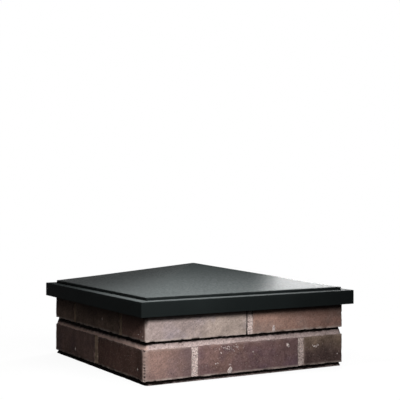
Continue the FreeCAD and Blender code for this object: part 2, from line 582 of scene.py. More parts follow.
@dataclass(frozen=True)
class SandMortar(Finish):
    """Sandy mortar: a pale paste with coarse light and dark grains, a painted side tint where marked, and
    painted shade where marked.
    """

    paste: Colour = (0.67, 0.537, 0.499)
    damp: Colour = (0.53, 0.411, 0.373)
    painted_side_tint: Colour = (0.90, 0.63, 0.545)  # painted light on the beds at the left side, painted shade on upright joints that face left
    grit: float = 1.0  # strength of the lumps and grains
    slot: Slot = Slot.MORTAR
    # colour of the painted shade and shadows, where marked
    painted_shade: Colour = (0.005, 0.0035, 0.003)
    dark_grain: Colour = (0.10, 0.075, 0.068)
    dark_spots: Spots = Spots(280.0, 0.60, 0.42, 0.85)
    pale_grain: Colour = (0.74, 0.67, 0.64)
    pale_spots: Spots = Spots(330.0, 0.70, 0.40, 0.75)
    offset: Point = (0.2, 0.9, 0.4)
    cloud: Pattern = Pattern(45.0)
    damp_cloud: Pair = (0.35, 0.7)  # noise from dry to damp paste
    lump: Pattern = Pattern(360.0, 2.0, 0.6)
    lump_dark: float = 0.48
    lump_pale: float = 0.30
    lump_bump: Bump = Bump(1.2 * MM, 0.6)
    grain: Pattern = Pattern(900.0, 3.0, 0.7)
    grain_noise: Pair = (0.28, 0.72)
    grain_light: Pair = (0.8, 1.15)
    grain_bump: Bump = Bump(0.8 * MM, 0.8)
    roughness: Pair = (0.88, 0.98)
    specular: float = 0.02

    def material(self, name: str) -> bpy.types.Material:
        """Make the mortar's material.

        Args:
            name: Name of the material.

        Returns:
            The material.
        """
        sheet = NodeSheet(bpy.data.materials.new(name))
        where = sheet.shifted(self.offset)
        lump = sheet.noise(where, self.lump)
        grain = sheet.noise(where, self.grain)
        cloud = sheet.span(sheet.noise(where, self.cloud), *self.damp_cloud)
        colour = sheet.mix(cloud, self.paste, self.damp)
        light = sheet.span(lump, *NOISE, 1.0 - self.lump_dark * self.grit, 1.0 + self.lump_pale * self.grit)
        light = sheet.math("MULTIPLY", light, sheet.span(grain, *self.grain_noise, *self.grain_light))
        colour = sheet.mix(1.0, colour, sheet.grey(light), "MULTIPLY")
        colour = sheet.mix(sheet.spots(where, self.dark_spots, self.grit), colour, self.dark_grain)
        colour = sheet.mix(sheet.spots(where, self.pale_spots, self.grit), colour, self.pale_grain)
        colour = sheet.mix(sheet.marked("painted_side_tint"), colour, self.painted_side_tint)
        # painted shade: black under the bricks above, in the crack and under the cap
        colour = sheet.mix(sheet.marked("painted_shade"), colour, self.painted_shade)
        normal = sheet.bump(grain, self.grain_bump)
        normal = sheet.bump(lump, self.lump_bump, normal)
        rough = sheet.span(grain, *NOISE, *self.roughness)
        return sheet.principled({"Base Color": colour, "Roughness": rough, "Normal": normal,
                                 "Specular IOR Level": self.specular})


class Tone(Enum):
    """Fired tones of the bricks, each with the colours of its body, its flash and its bloom."""

    BUFF = FiredClay(
        Slot.BUFF, (0.312, 0.247, 0.231), (0.372, 0.297, 0.258), (0.292, 0.244, 0.258), seed=1.0,
        bloom_share=0.8, ends=(0.215, 0.13, 0.108), end_share=1.0, drag_depth=0.12, contrast=0.62)
    BROWN = FiredClay(
        Slot.BROWN, (0.355, 0.218, 0.174), (0.262, 0.153, 0.124), (0.27, 0.201, 0.178), seed=2.0,
        flash_from=0.15, ends=(0.25, 0.175, 0.143), end_share=1.0, contrast=0.75)
    EMBER = FiredClay(
        Slot.BROWN, (0.285, 0.180, 0.152), (0.20, 0.132, 0.127), (0.18, 0.115, 0.12), seed=3.0,
        flash_from=0.42, flash_to=0.74, flash_along=(0.9, 0.0, 0.1), bloom_share=0.3, patchiness=0.2,
        ends=(0.118, 0.066, 0.053), end_share=0.85, contrast=0.75)
    PLUM = FiredClay(
        Slot.PLUM, (0.222, 0.134, 0.117), (0.154, 0.094, 0.092), (0.128, 0.078, 0.095), seed=4.0,
        flash_from=-0.3, flash_to=0.38, flash_along=(0.75, 0.0, -0.35), bloom_share=0.75, patchiness=0.45,
        drag_lean=8.0, contrast=0.9)
    DUSK = FiredClay(
        Slot.PLUM, (0.24, 0.155, 0.135), (0.17, 0.115, 0.105), (0.15, 0.105, 0.11), seed=6.0,
        flash_from=0.2, patchiness=0.4, drag_lean=8.0, contrast=0.9)
    CHARCOAL = FiredClay(
        Slot.CHARCOAL, (0.100, 0.065, 0.059), (0.205, 0.145, 0.109), (0.12, 0.084, 0.072), seed=5.0,
        flash_from=0.35, flash_to=0.9, flash_along=(0.0, 0.0, 1.0), ends=(0.22, 0.155, 0.125), end_share=0.9,
        drag_lean=8.0)


class Layer(NamedTuple):
    """One layer of a rough surface: its wavelength and height, and a shift that sets it apart."""

    wavelength: float
    height: float
    shift: float = 0.0


class Hollow(NamedTuple):
    """Sparse hollows: their wavelength, the share of the noise left bare, their depth and their shift."""

    wavelength: float
    bare: float
    depth: float
    shift: float = 0.0


@dataclass
class Roughcast:
    """Seeded lattice noise that shapes the rough meshes."""

    seed: int
    table: np.ndarray = field(init=False)

    # Number of values, and the hash that picks one of them for a lattice point
    SIZE = 4096
    STRIDES = np.array([73856093, 19349663, 83492791])
    FOLD = 7

    def __post_init__(self) -> None:
        """Draw the lattice's values."""
        self.table = np.random.default_rng(self.seed).uniform(-1.0, 1.0, self.SIZE)

    def at(self, points: np.ndarray, wavelength: float) -> np.ndarray:
        """Smooth noise between -1 and 1.

        Args:
            points: Places in metres, one row each.
            wavelength: Size of the features, in metres.

        Returns:
            One value for each place.
        """
        scaled = points / wavelength
        cell = np.floor(scaled).astype(np.int64)
        part = scaled - cell
        part = part * part * (3.0 - 2.0 * part)
        total = np.zeros(len(points))
        for corner in np.ndindex(2, 2, 2):
            key = (cell + corner) @ self.STRIDES
            share = np.prod(np.where(corner, part, 1.0 - part), axis=1)
            total += share * self.table[(key ^ (key >> self.FOLD)) % self.SIZE]
        return total

    def swell(self, points: np.ndarray, layers: tuple[Layer, ...]) -> np.ndarray:
        """Height of a rough surface over the plain one.

        Args:
            points: Places on the plain surface.
            layers: Layers of noise that add up.

        Returns:
            One height for each place, in metres.
        """
        return sum(layer.height * self.at(points + layer.shift, layer.wavelength) for layer in layers)

    def dents(self, points: np.ndarray, hollows: tuple[Hollow, ...]) -> np.ndarray:
        """Depth of sparse hollows.

        Args:
            points: Places on the plain surface.
            hollows: Sets of hollows that add up.

        Returns:
            One depth for each place, 0 on bare ground.
        """
        total = np.zeros(len(points))
        for hollow in hollows:
            noise = self.at(points + hollow.shift, hollow.wavelength)
            total += hollow.depth * np.clip((noise - hollow.bare) / (1.0 - hollow.bare), 0.0, 1.0)
        return total


def bell(distance: np.ndarray, width: float) -> np.ndarray:
    """A smooth bump: 1 at no distance, and next to nothing beyond twice its width."""
    return np.exp(-((distance / width) ** 2))


@dataclass
class GridBlock:
    """A closed box of fine quads, with soft arrises, that can be roughened."""

    low: np.ndarray
    high: np.ndarray
    step: float
    radius: float
    points: np.ndarray = field(init=False)
    normals: np.ndarray = field(init=False)
    quads: np.ndarray = field(init=False)

    # Grid lines across a rounded arris, in shares of its radius, and the fewest steps between two arrises
    BEND = np.array([0.0, 0.35, 0.68])
    FEWEST_STEPS = 2

    def __post_init__(self) -> None:
        """Lay out the grid and round its arrises."""
        lines = [self.lines(axis) for axis in range(3)]
        shape = tuple(len(line) for line in lines)
        numbers = np.full(shape, -1)
        shell = np.ones(shape, bool)
        shell[1:-1, 1:-1, 1:-1] = False
        numbers[shell] = np.arange(shell.sum())
        flat = np.stack(np.meshgrid(*lines, indexing="ij"), axis=-1)[shell]
        core = np.clip(flat, self.low + self.radius, self.high - self.radius)
        out = flat - core
        self.normals = out / np.linalg.norm(out, axis=1, keepdims=True)
        self.points = core + self.normals * self.radius
        self.quads = np.concatenate([self.side(numbers, axis, end) for axis in range(3) for end in (0, -1)])

    def lines(self, axis: int) -> np.ndarray:
        """Grid lines along an axis, closer together round the arrises.

        Args:
            axis: Number of the axis.

        Returns:
            Their places along it.
        """
        low, high, soft = self.low[axis], self.high[axis], self.radius
        count = max(self.FEWEST_STEPS, round((high - low - 2 * soft) / self.step))
        middle = np.linspace(low + soft, high - soft, count + 1)
        bend = soft * self.BEND
        return np.concatenate([low + bend, middle, (high - bend)[::-1]])

    @staticmethod
    def side(numbers: np.ndarray, axis: int, end: int) -> np.ndarray:
        """Quads of one side of the grid, facing out.

        Args:
            numbers: Vertex number at each grid place.
            axis: Axis that the side lies across.
            end: 0 for the low side and -1 for the high side.

        Returns:
            Four vertex numbers for each quad.
        """
        grid = np.take(numbers, end, axis=axis)
        around = [grid[:-1, :-1], grid[1:, :-1], grid[1:, 1:], grid[:-1, 1:]]
        quads = np.stack([corner.ravel() for corner in around], axis=1)
        outward = (end == -1) == (axis != 1)
        return quads if outward else quads[:, ::-1]

    def from_arris(self) -> np.ndarray:
        """Distance of each point from the nearest arris."""
        gaps = np.sort(np.minimum(self.points - self.low, self.high - self.points), axis=1)
        return gaps[:, 1]


@dataclass
class WallBlock(GridBlock):
    """A wall of mortar: fine across its ends and coarse along its hidden length."""

    fine_end: float = 9 * MM  # length of the fine stretch at each end
    open_from: float = 72 * MM  # shortest length with an open middle

    def lines(self, axis: int) -> np.ndarray:
        """Grid lines along an axis, with a long middle left open.

        Args:
            axis: Number of the axis.

        Returns:
            Their places along it.
        """
        plain = super().lines(axis)
        low, high = self.low[axis], self.high[axis]
        if high - low < self.open_from:
            return plain
        return plain[(plain < low + self.fine_end) | (plain > high - self.fine_end)]


@dataclass(frozen=True)
class RoundedSquare:
    """Outline of a square with rounded corners about the upright axis, counter-clockwise from above."""

    half: float
    radius: float
    straight_points: int
    corner_points: int

    def trace(self) -> tuple[np.ndarray, np.ndarray]:
        """Walk round the outline.

        Returns:
            Its points, and the outward direction at each.
        """
        flat = self.half - self.radius
        run = np.linspace(-flat, flat, self.straight_points)
        bend = np.linspace(0.0, math.pi / 2, self.corner_points + 2)[1:-1]
        straight_core = np.column_stack([np.full(len(run), flat), run])
        core = np.concatenate([straight_core, np.full((len(bend), 2), flat)])
        straight_out = np.tile([1.0, 0.0], (len(run), 1))
        outward = np.concatenate([straight_out, np.column_stack([np.cos(bend), np.sin(bend)])])
        points, directions = [], []
        for turn in range(4):
            c, s = math.cos(turn * math.pi / 2), math.sin(turn * math.pi / 2)
            spin = np.array([[c, s], [-s, c]])
            points.append((core + self.radius * outward) @ spin)
            directions.append(outward @ spin)
        return np.concatenate(points), np.concatenate(directions)


def ring_faces(around: int, loops: int) -> list[list[int]]:
    """Faces between loops of points, closed by one face at each end.

    Args:
        around: Points in a loop.
        loops: Number of loops.

    Returns:
        Vertex numbers of each face.
    """
    faces = []
    for loop in range(loops - 1):
        for step in range(around):
            a, b = loop * around + step, loop * around + (step + 1) % around
            faces.append([a, b, b + around, a + around])
    faces.append(list(range(around))[::-1])
    faces.append(list(range((loops - 1) * around, loops * around)))
    return faces


def mesh_piece(name: str, points: np.ndarray, faces: list | np.ndarray) -> bpy.types.Object:
    """Make a smooth mesh object in the frame.

    Args:
        name: Name of the piece.
        points: Vertices in metres.
        faces: Vertex numbers of each face.

    Returns:
        The object.
    """
    mesh = bpy.data.meshes.new(name)
    mesh.from_pydata(points.tolist(), [], [list(map(int, face)) for face in faces])
    mesh.polygons.foreach_set("use_smooth", [True] * len(mesh.polygons))
    mesh.validate()
    mesh.update()
    piece = bpy.data.objects.new(name, mesh)
    bpy.context.scene.collection.objects.link(piece)
    return piece


def settle(piece: bpy.types.Object, finish: Finish, node: str | None = None) -> bpy.types.Object:
    """Dress a piece, let it ride on the body and put it in the place of a solid.

    Args:
        piece: Object to settle.
        finish: Finish that it gets, with its material slot.
        node: Solid that the piece stands for, if any.

    Returns:
        The same object.
    """
    finish.dress(piece)
    if node is not None:
        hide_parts(node)
    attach(piece, BODY)
    return piece


def mark(piece: bpy.types.Object, name: str, values: np.ndarray) -> None:
    """Keep a value at each vertex for a finish to read.

    Args:
        piece: Object to mark.
        name: Name of the attribute.
        values: One value for each vertex.
    """
    layer = piece.data.attributes.new(name, "FLOAT", "POINT")
    layer.data.foreach_set("value", values.astype(np.float32))


@dataclass(frozen=True)
class CapShadow:
    """Painted shadow of the cap's overhang at the top of a course, which reaches lower to the right and on
    the ends.
    """

    reach: float  # half of the pier's side
    depth: float = 10 * MM
    fade: float = 10 * MM  # at the left of the front
    right_fade: float = 26 * MM  # at its right
    end_depth: float = 11 * MM  # on the left and right sides, as the next one
    end_fade: float = 26 * MM

    def at(self, points: np.ndarray, normals: np.ndarray, top: float) -> np.ndarray:
        """Share of the painted shadow.

        Args:
            points: Places on the course.
            normals: Outward direction at each.
            top: Level of the top of the course.

        Returns:
            One share for each place, 0 to 1.
        """
        to_right = np.clip(0.5 + 0.5 * points[:, 0] / self.reach, 0.0, 1.0) ** 2
        on_end = np.abs(normals[:, 0])
        depth = self.depth + (self.end_depth - self.depth) * on_end
        fade = self.fade + (self.right_fade - self.fade) * to_right
        fade += (self.end_fade - fade) * on_end
        return np.clip((depth + fade - top + points[:, 2]) / fade, 0.0, 1.0)


@dataclass(frozen=True)
class WornCorner:
    """The upright corner of a brick between the front and the left side: worn round, with a row of pits."""

    place: tuple[float, float]  # plan place of the sharp corner
    radius: float = 6.5 * MM
    # reach of the pale corner, which is partly a painted highlight
    pale_reach: float = 7.5 * MM
    flare: float = 0.0  # how far the brick spreads to the left
    flare_reach: float = 22 * MM
    pit_depth: float = 2.0 * MM
    pit_pitch: float = 5.2 * MM
    pit_size: float = 1.35 * MM
    pit_width: float = 1.4  # in pit sizes
    pit_stray: float = 0.25  # stray from even spacing, in pitches
    pit_share: float = 0.65  # mean share of the depth
    pit_change: float = 0.6  # and its change from pit to pit

    def wear(self, block: GridBlock) -> None:
        """Wear the corner of a block round.

        Args:
            block: Plain block of the brick, which is changed.
        """
        axis = np.array(self.place) + self.radius
        out = block.points[:, :2] - axis
        reach = np.linalg.norm(out, axis=1)
        worn = (out < 0.0).all(axis=1) & (reach > self.radius)
        outward = out[worn] / reach[worn, None]
        block.points[worn, :2] = axis + self.radius * outward
        block.normals[worn, :2] = outward * np.linalg.norm(block.normals[worn, :2], axis=1, keepdims=True)

    def spread(self, block: GridBlock) -> None:
        """Flare a block out to the left, next to the corner."""
        block.points[:, 0] -= self.flare * self.near(block.points, self.flare_reach)

    def near(self, points: np.ndarray, reach: float) -> np.ndarray:
        """Closeness to the corner, 0 to 1."""
        return bell(np.hypot(*(points[:, :2] - self.place).T), reach)

    def pits(self, points: np.ndarray, seed: int) -> np.ndarray:
        """Depth of the pits in a row down the corner, as a share.

        Args:
            points: Places on the brick.
            seed: Seed of their places and depths.

        Returns:
            One share for each place, about 0 to 1.
        """
        if self.pit_depth == 0.0:
            return np.zeros(len(points))
        middle = np.array(self.place) + (1.0 - math.sqrt(0.5)) * self.radius
        away = np.hypot(*(points[:, :2] - middle).T)
        cast = Roughcast(seed)
        turn = points[:, 2] / self.pit_pitch + self.pit_stray * cast.at(points, 2.0 * self.pit_pitch)
        number = np.floor(turn).astype(int)
        up = self.pit_pitch * np.abs(turn - number - 0.5)
        share = self.pit_share + self.pit_change * cast.table[number]
        return share * bell(up, self.pit_size) * bell(away, self.pit_width * self.pit_size)


@dataclass
class Brick:
    """One moulded brick whose face shows: wavy sanded faces, worn and chipped arrises."""

    node: str
    tone: Tone
    seed: int
    grid: float = 1.6 * MM
    arris: float = 1.4 * MM
    lip: float = 0.0  # how far the foot hangs below the solid
    corner: WornCorner | None = None
    cap_shadow: CapShadow | None = None
    face: tuple[Layer, ...] = (
        Layer(55 * MM, 0.45 * MM), Layer(17 * MM, 0.225 * MM, 1.0),
        Layer(5.5 * MM, 0.16 * MM), Layer(2.6 * MM, 0.128 * MM, 2.0))
    face_pits: tuple[Hollow, ...] = (Hollow(4.2 * MM, 0.62, 0.7 * MM, 3.0),)
    chips: tuple[Hollow, ...] = (
        Hollow(11 * MM, 0.25, 1.7 * MM, 4.0), Hollow(4.5 * MM, 0.2, 0.85 * MM, 5.0),
        Hollow(2.9 * MM, 0.1, 0.5 * MM, 6.0))
    shaded_nicks: tuple[Hollow, ...] = (Hollow(10 * MM, 0.3, 5.0),)  # painted shade of nicks, with a strength for a depth
    nick_reach: float = 2.2 * MM
    pale_band: float = 4.2 * MM  # height of the foot's and the top's arris bands
    foot_pale: float = 0.7
    top_pale: float = 0.3
    upright_pale: float = 0.2
    rim: float = 1.5 * MM  # pale line along the lower arris, a painted highlight
    rim_highlight: float = 0.85
    corner_highlight: float = 0.55
    # painted shade in the corner's pits
    pit_shade: float = 1.3
    pit_seed: int = 100  # added to the brick's seed, as the next one
    nick_seed: int = 200

    def build(self) -> bpy.types.Object:
        """Build the brick in the place of its solid, dress it and let it ride.

        Returns:
            The brick.
        """
        low, high = (np.array(corner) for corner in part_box(self.node))
        low[2] -= self.lip
        block = GridBlock(low, high, self.grid, self.arris)
        near_arris = bell(block.from_arris(), 2.0 * self.arris)
        near_corner = pits = np.zeros(len(block.points))
        pit_depth = 0.0
        if self.corner is not None:
            self.corner.wear(block)
            near_corner = self.corner.near(block.points, self.corner.pale_reach)
            pits = self.corner.pits(block.points, self.seed + self.pit_seed)
            pit_depth = self.corner.pit_depth
            self.corner.spread(block)
        height = self.relief(block.points, near_arris) - pit_depth * pits
        rough = block.points + block.normals * height[:, None]
        piece = mesh_piece(f"{self.node}_moulded", rough, block.quads)
        # pale sand on the arrises, with a painted highlight along the lower arris and at the worn corner
        pale = self.pale(block, near_arris) + self.corner_highlight * near_corner
        mark(piece, "arris", np.clip(pale, 0.0, 1.0))
        mark(piece, "painted_shade", np.clip(np.maximum(self.pit_shade * pits, self.dark(block)), 0.0, 1.0))
        return settle(piece, self.tone.value, self.node)

    def relief(self, points: np.ndarray, near_arris: np.ndarray) -> np.ndarray:
        """Height of the rough face over the plain one.

        Args:
            points: Places on the plain face.
            near_arris: Closeness of each to an arris, 0 to 1.

        Returns:
            One height for each place, in metres.
        """
        cast = Roughcast(self.seed)
        height = cast.swell(points, self.face) - cast.dents(points, self.face_pits)
        return height - near_arris * cast.dents(points, self.chips)

    def pale(self, block: GridBlock, near_arris: np.ndarray) -> np.ndarray:
        """Share of pale sand along the arrises, most at the foot, with a painted highlight along the lower
        arris.

        Args:
            block: Shape of the brick.
            near_arris: Closeness of each point to an arris, 0 to 1.

        Returns:
            One share for each point.
        """
        above, below = block.points[:, 2] - block.low[2], block.high[2] - block.points[:, 2]
        share = np.where(above < self.pale_band, self.foot_pale, self.upright_pale)
        share = np.where(below < self.pale_band, self.top_pale, share)
        return share * near_arris + self.rim_highlight * bell(above - self.arris, self.rim)

    def dark(self, block: GridBlock) -> np.ndarray:
        """Share of painted shade: dark spots along the lower arris, and the cap's painted shadow.

        Args:
            block: Shape of the brick.

        Returns:
            One share for each point.
        """
        bites = np.clip(Roughcast(self.seed + self.nick_seed).dents(block.points, self.shaded_nicks), 0.0, 1.0)
        dark = bites * bell(block.points[:, 2] - block.low[2], self.nick_reach)
        if self.cap_shadow is None:
            return dark
        return np.maximum(dark, self.cap_shadow.at(block.points, block.normals, block.high[2]))


@dataclass
class BedJoint:
    """Bed of mortar across the pier, struck back under the bricks above, with a sandy edge all round."""

    node: str
    seed: int
    foot_reach: float = 0.9 * MM  # of the edge's foot beyond the solid's foot
    top_reach: float = -3.3 * MM  # and of the edge's top
    slope_power: float = 1.3  # over 1, the edge falls back faster towards the top
    foot_lap: float = 1.2 * MM  # down between the bricks below
    # painted shadow: black under the bricks above down to this depth, then a fade
    black_depth: float = 4.0 * MM
    black_fade: float = 1.5 * MM
    shade_depth: float = 9.5 * MM
    shade: float = 0.4  # strength of the shade where the black ends
    least_shade: float = 0.0  # least painted shade all over
    lime: float = 0.95  # painted light: a pale tint at the left side
    left_light_reach: float = 6.5 * MM
    left_black_depth: float = 2.1 * MM  # what the painted pale light adds to the painted black's depth
    left_black_fade: float = 3.0 * MM  # and to its fade
    grid: float = 1.5 * MM
    row: float = 1.1 * MM  # height of a row of faces
    fewest_rows: int = 4
    rim: float = 16 * MM  # ring of faces above and below
    corner: float = 5.0 * MM
    corner_points: int = 3
    sand: tuple[Layer, ...] = (
        Layer(14 * MM, 0.36 * MM), Layer(4.0 * MM, 0.45 * MM, 1.0), Layer(2.2 * MM, 0.315 * MM, 2.0))
    ragged: tuple[Layer, ...] = (Layer(60 * MM, 0.9 * MM), Layer(6 * MM, 0.8 * MM))
    finish: SandMortar = SandMortar((0.57, 0.447, 0.425), (0.46, 0.350, 0.330), grit=0.55)

    def build(self) -> bpy.types.Object:
        """Build the bed in the place of its solid, dress it and let it ride.

        Returns:
            The bed.
        """
        low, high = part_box(self.node)
        rows = max(self.fewest_rows, round((high.z - low.z) / self.row))
        loops = self.loops(high.x, max(low.z - self.foot_lap, 0.0), high.z, rows)
        points = np.concatenate(loops)
        piece = mesh_piece(f"{self.node}_struck", points, ring_faces(len(loops[0]), len(loops)))
        # painted light: a pale tint at the left side of the bed
        left_light_share = np.clip(1.0 - (points[:, 0] - points[:, 0].min()) / self.left_light_reach, 0.0, 1.0)
        mark(piece, "painted_side_tint", self.lime * left_light_share)
        mark(piece, "painted_shade", self.painted_shade(points, high.z, left_light_share))
        return settle(piece, self.finish, self.node)

    def loops(self, half: float, foot: float, top: float, rows: int) -> list[np.ndarray]:
        """Loops of points round the bed: its underside, its sloping edge row by row, and its upper side.

        Args:
            half: Half of the bed's side.
            foot: Level of its underside.
            top: Level of its upper side.
            rows: Rows of faces up the edge.

        Returns:
            The points of each loop.
        """
        straight_points = round(2 * (half - self.corner) / self.grid)
        outline, outward = RoundedSquare(half, self.corner, straight_points, self.corner_points).trace()
        inner = outline * (1.0 - self.rim / half)
        cast = Roughcast(self.seed)
        loops = [np.column_stack([inner, np.full(len(inner), foot)])]
        for up in np.linspace(0.0, 1.0, rows + 1):
            reach = self.foot_reach + (self.top_reach - self.foot_reach) * up ** self.slope_power
            level = np.full(len(outline), foot + up * (top - foot))
            edge = np.column_stack([outline + reach * outward, level])
            edge[:, :2] += cast.swell(edge, self.sand)[:, None] * outward
            loops.append(edge)
        loops.append(np.column_stack([inner, np.full(len(inner), top)]))
        return loops

    def painted_shade(self, points: np.ndarray, top: float, left_light_share: np.ndarray) -> np.ndarray:
        """Painted shade of the edge: a painted black shadow under the bricks above, with a painted shade
        that fades to the foot.

        Args:
            points: Places on the bed.
            top: Level of the bricks above.
            left_light_share: Share of the painted pale light at each place, which goes with a deeper painted
                black and no shade.

        Returns:
            One share for each place, 0 to 1.
        """
        below = top - points[:, 2] + Roughcast(self.seed).swell(points, self.ragged)
        depth = self.black_depth + self.left_black_depth * left_light_share
        fade = self.black_fade + self.left_black_fade * left_light_share
        black = (depth + fade - below) / fade
        upward = (self.shade_depth - below) / (self.shade_depth - self.black_depth)
        shade = self.shade * (1.0 - left_light_share) * upward
        return np.clip(np.maximum(np.maximum(black, shade), self.least_shade), 0.0, 1.0)


@dataclass(frozen=True)
class Course:
    """One course: the bricks of its two outer rows, the axis that they run along, and its upright joints."""

    name: str
    row_axis: int  # 0 for rows along X, 1 for rows along Y
    rows: tuple[tuple[str, str], tuple[str, str]]
    seed: int
    crack: float = 0.0  # gap beside the first upright joint
    cap_shadow: CapShadow | None = None
    crosses: int = 4  # bricks between the outer rows
    grid: float = 1.2 * MM
    arris: float = 0.6 * MM
    lap: float = 0.6 * MM  # into the bricks on both sides
    left_proud: float = 1.3 * MM  # beyond the solid, on the left
    left_end_shade: float = 0.75  # painted shade: a darker brown tint on the ends that face left
    sand: tuple[Layer, ...] = (
        Layer(7 * MM, 0.4 * MM), Layer(3.1 * MM, 0.4 * MM, 1.0), Layer(1.9 * MM, 0.28 * MM, 2.0))
    # its tint paints the shade of the ends that face left
    finish: SandMortar = SandMortar(painted_side_tint=(0.412, 0.281, 0.18))

    @property
    def node(self) -> str:
        """Solid of the upright joints."""
        return f"mortar_perpends_{self.name}"

    def gap(self, first: str, second: str) -> tuple[np.ndarray, np.ndarray]:
        """Space between two bricks that face each other.

        Args:
            first: Place of one brick in the course.
            second: Place of the other.

        Returns:
            Lowest and highest corner of the space.
        """
        a, b = (np.array(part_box(f"brick_{self.name}_{place}")) for place in (first, second))
        start, end = np.maximum(a[0], b[0]), np.minimum(a[1], b[1])
        return np.minimum(start, end), np.maximum(start, end)

    def walls(self) -> list[tuple[np.ndarray, np.ndarray]]:
        """Walls of mortar between the bricks. The first stands apart from its brick by the crack.

        Returns:
            Lowest and highest corner of each wall.
        """
        box = np.array(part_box(self.node))
        walls = []
        for first, second in self.rows:
            walls.append(self.gap(first, second))
            low, high = self.gap(first, "cross_1")
            low[self.row_axis], high[self.row_axis] = box[:, self.row_axis]
            walls.append((low, high))
        for number in range(1, self.crosses):
            walls.append(self.gap(f"cross_{number}", f"cross_{number + 1}"))
        for low, high in walls:
            across = np.argmin(high[:2] - low[:2])
            low[across] -= self.lap
            high[across] += self.lap
        walls[0][0][self.row_axis] += self.crack
        box[0][0] -= self.left_proud
        return [(np.maximum(low, box[0]), np.minimum(high, box[1])) for low, high in walls]

    def point(self) -> bpy.types.Object:
        """Build the upright joints in the place of their solid, dress them and let them ride.

        Returns:
            The joined walls of mortar.
        """
        cast = Roughcast(self.seed)
        points, quads, painted_shade, painted_side_tint, count = [], [], [], [], 0
        for number, (low, high) in enumerate(self.walls()):
            block = WallBlock(low, high, self.grid, self.arris)
            points.append(block.points + block.normals * cast.swell(block.points, self.sand)[:, None])
            quads.append(block.quads + count)
            painted_shade.append(self.painted_shade(block, number == 0))
            # painted shade on the ends that face left
            painted_side_tint.append(self.left_end_shade * np.clip(-block.normals[:, 0], 0.0, 1.0))
            count += len(block.points)
        piece = mesh_piece(f"{self.node}_pointed", np.concatenate(points), np.concatenate(quads))
        mark(piece, "painted_shade", np.concatenate(painted_shade))
        mark(piece, "painted_side_tint", np.concatenate(painted_side_tint))
        return settle(piece, self.finish, self.node)

    def painted_shade(self, block: GridBlock, beside_crack: bool) -> np.ndarray:
        """Painted shade of a wall: black beside the crack, and the cap's painted shadow.

        Args:
            block: Shape of the wall.
            beside_crack: Whether the crack, if there is one, is at this wall.

        Returns:
            One share for each point, 0 to 1.
        """
        along, start = block.points[:, self.row_axis], block.low[self.row_axis]
        dark = np.zeros(len(block.points))
        # painted shadow in the crack
        if beside_crack and self.crack > 0.0:
            dark[along < start + self.arris] = 1.0
        if self.cap_shadow is None:
            return dark
        return np.maximum(dark, self.cap_shadow.at(block.points, block.normals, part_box(self.node)[1].z))


@dataclass(frozen=True)
class Splash:
    """A lump of mortar left on a brick face."""

    side: Side
    along: float
    level: float
    width: float
    height: float
    depth: float
    lean: float = 0.0


@dataclass
class Splashes:
    """Mortar lumps and lime specks on the brick faces, joined into one piece."""

    face: float  # distance of the brick faces from the middle
    lumps: list[Splash]
    seed: int
    rings: int = 6
    spokes: int = 22
    sunk: float = 0.6 * MM  # depth of the rim behind the face
    plateau: float = 5.0  # the higher, the flatter the crown
    uneven: float = 0.28  # of the outline
    uneven_length: float = 0.7
    variety: float = 10.0  # change of the outline from lump to lump
    finish: SandMortar = SandMortar((0.60, 0.495, 0.465), (0.50, 0.41, 0.385))

    def build(self) -> bpy.types.Object:
        """Build the lumps on their faces, dress them and let them ride.

        Returns:
            The joined lumps.
        """
        cast = Roughcast(self.seed)
        points, faces = [], []
        for lump in self.lumps:
            first = sum(len(part) for part in points)
            points.append(self.dome(cast, lump))
            faces.extend([[first + number for number in face] for face in self.dome_faces()])
        piece = mesh_piece("mortar_splashes", np.concatenate(points), faces)
        return settle(piece, self.finish)

    def dome(self, cast: Roughcast, lump: Splash) -> np.ndarray:
        """Points of one lump: a low dome with an uneven outline, closed behind the face.

        Args:
            cast: Noise to use.
            lump: The lump.

        Returns:
            Its points: the crown, the rings from the crown out, and the point behind.
        """
        out = lump.side.outward
        centre = self.face * out + lump.along * lump.side.along + lump.level * UP
        angle = 2 * math.pi * np.arange(self.spokes) / self.spokes
        circle = np.column_stack([np.cos(angle), np.sin(angle), np.zeros(self.spokes)])
        edge = 1.0 + self.uneven * cast.at(circle + self.variety * lump.along, self.uneven_length)
        wide, high = 0.5 * lump.width * edge * circle[:, 0], 0.5 * lump.height * edge * circle[:, 1]
        c, s = math.cos(math.radians(lump.lean)), math.sin(math.radians(lump.lean))
        outline = np.outer(wide * c - high * s, lump.side.along) + np.outer(wide * s + high * c, UP)
        points = [centre + lump.depth * out]
        for ring in range(1, self.rings + 1):
            reach = ring / self.rings
            rise = (lump.depth + self.sunk) * (1.0 - reach ** self.plateau) - self.sunk
            points.extend(centre + reach * outline + rise * out)
        points.append(centre - 2 * self.sunk * out)
        return np.array(points)

    def dome_faces(self) -> list[list[int]]:
        """Faces of one lump.

        Returns:
            Point numbers of each face.
        """
        faces = []
        for spoke in range(self.spokes):
            after = (spoke + 1) % self.spokes
            faces.append([0, 1 + spoke, 1 + after])
            for ring in range(self.rings - 1):
                a, b = 1 + ring * self.spokes + spoke, 1 + ring * self.spokes + after
                faces.append([a, a + self.spokes, b + self.spokes, b])
            last = 1 + (self.rings - 1) * self.spokes
            faces.append([last + after, last + spoke, last + self.spokes])
        return faces


class Ring(NamedTuple):
    """One level of the cap: a rounded square."""

    half: float
    radius: float
    level: float


